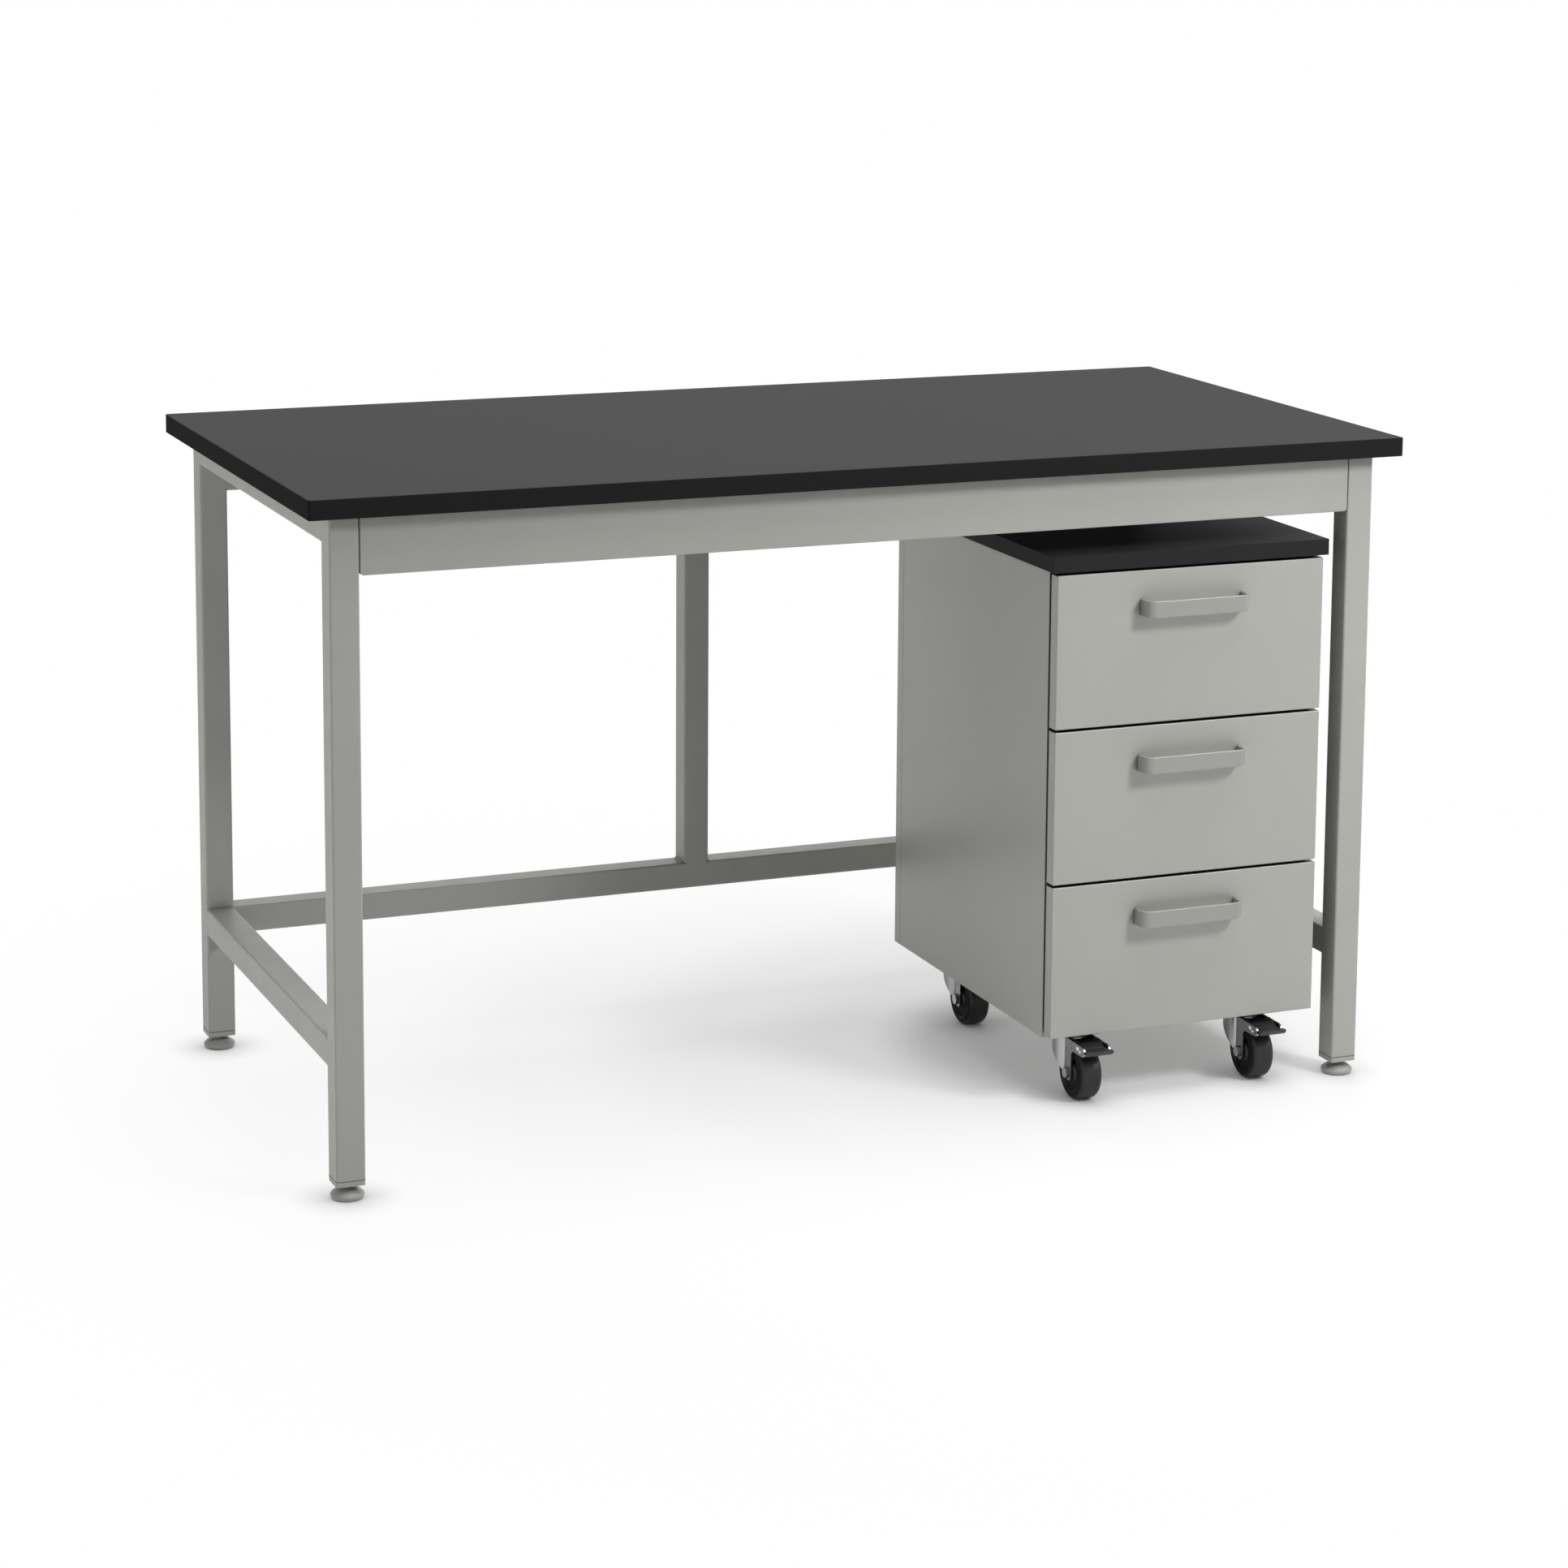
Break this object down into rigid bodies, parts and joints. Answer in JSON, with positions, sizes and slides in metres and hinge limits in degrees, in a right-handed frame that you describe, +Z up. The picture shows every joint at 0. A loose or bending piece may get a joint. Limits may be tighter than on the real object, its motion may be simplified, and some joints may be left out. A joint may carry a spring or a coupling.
{
  "type": "laboratory table",
  "caption": "Laboratory table: dark laminate worktop on a welded grey tube frame with levelling feet, with a mobile drawer pedestal on swivel casters and brake pedals beneath it",
  "frame": {"origin": "on the floor under the centre of the worktop", "axes": "+X along the length to the viewer's right, +Y to the back, +Z up; the drawers face -Y"},
  "size_m": [1.524, 0.762, 0.9],
  "materials": {
    "worktop_board": "fine matt laminate",
    "edge_band": "satin",
    "frame_paint": "satin powder coat",
    "zinc_steel": "zinc plated",
    "grey_plastic": "satin",
    "dark_board": "fine matt laminate",
    "pedestal_board": "satin laminate",
    "drawer_paint": "satin",
    "handle_paint": "satin powder coat",
    "wheel_rubber": "matt",
    "pedal_plastic": "satin"
  },
  "bodies": {
    "table": {"worktop_panel": "worktop_board", "worktop_edge_band": "edge_band", "worktop_brackets": "frame_paint", "worktop_screws": "zinc_steel", "front_left_leg": "frame_paint", "front_right_leg": "frame_paint", "rear_left_leg": "frame_paint", "rear_right_leg": "frame_paint", "left_top_rail": "frame_paint", "right_top_rail": "frame_paint", "rear_top_rail": "frame_paint", "left_stretcher": "frame_paint", "right_stretcher": "frame_paint", "rear_stretcher": "frame_paint", "rear_mid_post": "frame_paint", "front_apron": "frame_paint", "apron_end_brackets": "frame_paint", "leg_end_caps": "grey_plastic"},
    "pedestal": {"pedestal_top": "dark_board", "pedestal_left_side": "pedestal_board", "pedestal_right_side": "pedestal_board", "pedestal_back": "pedestal_board", "pedestal_bottom": "pedestal_board", "pedestal_top_rails": "pedestal_board", "slide_outer_members": "zinc_steel", "caster_plates": "zinc_steel", "caster_bolts": "zinc_steel"},
    "front_left_foot": {"front_left_levelling_foot": "grey_plastic"},
    "front_right_foot": {"front_right_levelling_foot": "grey_plastic"},
    "rear_left_foot": {"rear_left_levelling_foot": "grey_plastic"},
    "rear_right_foot": {"rear_right_levelling_foot": "grey_plastic"},
    "top_drawer": {"top_drawer_front": "pedestal_board", "top_drawer_box": "drawer_paint", "top_drawer_handle": "handle_paint", "top_slide_inner_members": "zinc_steel"},
    "top_slide": {"top_slide_middle_members": "zinc_steel"},
    "middle_drawer": {"middle_drawer_front": "pedestal_board", "middle_drawer_box": "drawer_paint", "middle_drawer_handle": "handle_paint", "middle_slide_inner_members": "zinc_steel"},
    "middle_slide": {"middle_slide_middle_members": "zinc_steel"},
    "bottom_drawer": {"bottom_drawer_front": "pedestal_board", "bottom_drawer_box": "drawer_paint", "bottom_drawer_handle": "handle_paint", "bottom_slide_inner_members": "zinc_steel"},
    "bottom_slide": {"bottom_slide_middle_members": "zinc_steel"},
    "front_left_caster": {"front_left_caster_fork": "zinc_steel", "front_left_caster_axle": "zinc_steel"},
    "front_left_wheel": {"front_left_caster_wheel": "wheel_rubber"},
    "front_left_pedal": {"front_left_brake_pedal": "pedal_plastic"},
    "front_right_caster": {"front_right_caster_fork": "zinc_steel", "front_right_caster_axle": "zinc_steel"},
    "front_right_wheel": {"front_right_caster_wheel": "wheel_rubber"},
    "front_right_pedal": {"front_right_brake_pedal": "pedal_plastic"},
    "rear_left_caster": {"rear_left_caster_fork": "zinc_steel", "rear_left_caster_axle": "zinc_steel"},
    "rear_left_wheel": {"rear_left_caster_wheel": "wheel_rubber"},
    "rear_right_caster": {"rear_right_caster_fork": "zinc_steel", "rear_right_caster_axle": "zinc_steel"},
    "rear_right_wheel": {"rear_right_caster_wheel": "wheel_rubber"}
  },
  "joints": [
    {"name": "front_left_foot_screw", "type": "slide", "parent": "table", "child": "front_left_foot", "axis": [0, 0, -1], "range_m": [-0.004, 0.025]},
    {"name": "front_right_foot_screw", "type": "slide", "parent": "table", "child": "front_right_foot", "axis": [0, 0, -1], "range_m": [-0.004, 0.025]},
    {"name": "rear_left_foot_screw", "type": "slide", "parent": "table", "child": "rear_left_foot", "axis": [0, 0, -1], "range_m": [-0.004, 0.025]},
    {"name": "rear_right_foot_screw", "type": "slide", "parent": "table", "child": "rear_right_foot", "axis": [0, 0, -1], "range_m": [-0.004, 0.025]},
    {"name": "pedestal_roll", "type": "slide", "parent": "table", "child": "pedestal", "axis": [0, -1, 0], "range_m": [0, 0.65]},
    {"name": "top_drawer_slide", "type": "slide", "parent": "pedestal", "child": "top_drawer", "axis": [0, -1, 0], "range_m": [0, 0.4]},
    {"name": "top_slide_extension", "type": "slide", "parent": "pedestal", "child": "top_slide", "axis": [0, -1, 0], "range_m": [0, 0.2]},
    {"name": "middle_drawer_slide", "type": "slide", "parent": "pedestal", "child": "middle_drawer", "axis": [0, -1, 0], "range_m": [0, 0.4]},
    {"name": "middle_slide_extension", "type": "slide", "parent": "pedestal", "child": "middle_slide", "axis": [0, -1, 0], "range_m": [0, 0.2]},
    {"name": "bottom_drawer_slide", "type": "slide", "parent": "pedestal", "child": "bottom_drawer", "axis": [0, -1, 0], "range_m": [0, 0.4]},
    {"name": "bottom_slide_extension", "type": "slide", "parent": "pedestal", "child": "bottom_slide", "axis": [0, -1, 0], "range_m": [0, 0.2]},
    {"name": "front_left_caster_swivel", "type": "hinge", "parent": "pedestal", "child": "front_left_caster", "pos_m": [0.3265, -0.2817, 0.088], "axis": [0, 0, 1], "continuous": true},
    {"name": "front_left_wheel_spin", "type": "hinge", "parent": "front_left_caster", "child": "front_left_wheel", "pos_m": [0.3265, -0.3092, 0.0375], "axis": [1, 0, 0], "continuous": true},
    {"name": "front_left_brake_press", "type": "hinge", "parent": "front_left_caster", "child": "front_left_pedal", "pos_m": [0.3265, -0.3392, 0.08], "axis": [1, 0, 0], "range_deg": [0, 12]},
    {"name": "front_right_caster_swivel", "type": "hinge", "parent": "pedestal", "child": "front_right_caster", "pos_m": [0.5905, -0.2817, 0.088], "axis": [0, 0, 1], "continuous": true},
    {"name": "front_right_wheel_spin", "type": "hinge", "parent": "front_right_caster", "child": "front_right_wheel", "pos_m": [0.5905, -0.3092, 0.0375], "axis": [1, 0, 0], "continuous": true},
    {"name": "front_right_brake_press", "type": "hinge", "parent": "front_right_caster", "child": "front_right_pedal", "pos_m": [0.5905, -0.3392, 0.08], "axis": [1, 0, 0], "range_deg": [0, 12]},
    {"name": "rear_left_caster_swivel", "type": "hinge", "parent": "pedestal", "child": "rear_left_caster", "pos_m": [0.3265, 0.0855, 0.088], "axis": [0, 0, 1], "continuous": true},
    {"name": "rear_left_wheel_spin", "type": "hinge", "parent": "rear_left_caster", "child": "rear_left_wheel", "pos_m": [0.3265, 0.058, 0.0375], "axis": [1, 0, 0], "continuous": true},
    {"name": "rear_right_caster_swivel", "type": "hinge", "parent": "pedestal", "child": "rear_right_caster", "pos_m": [0.5905, 0.0855, 0.088], "axis": [0, 0, 1], "continuous": true},
    {"name": "rear_right_wheel_spin", "type": "hinge", "parent": "rear_right_caster", "child": "rear_right_wheel", "pos_m": [0.5905, 0.058, 0.0375], "axis": [1, 0, 0], "continuous": true}
  ],
  "couplings": [
    {"joint": "top_slide_extension", "follows": "top_drawer_slide", "ratio": 0.5},
    {"joint": "middle_slide_extension", "follows": "middle_drawer_slide", "ratio": 0.5},
    {"joint": "bottom_slide_extension", "follows": "bottom_drawer_slide", "ratio": 0.5}
  ]
}
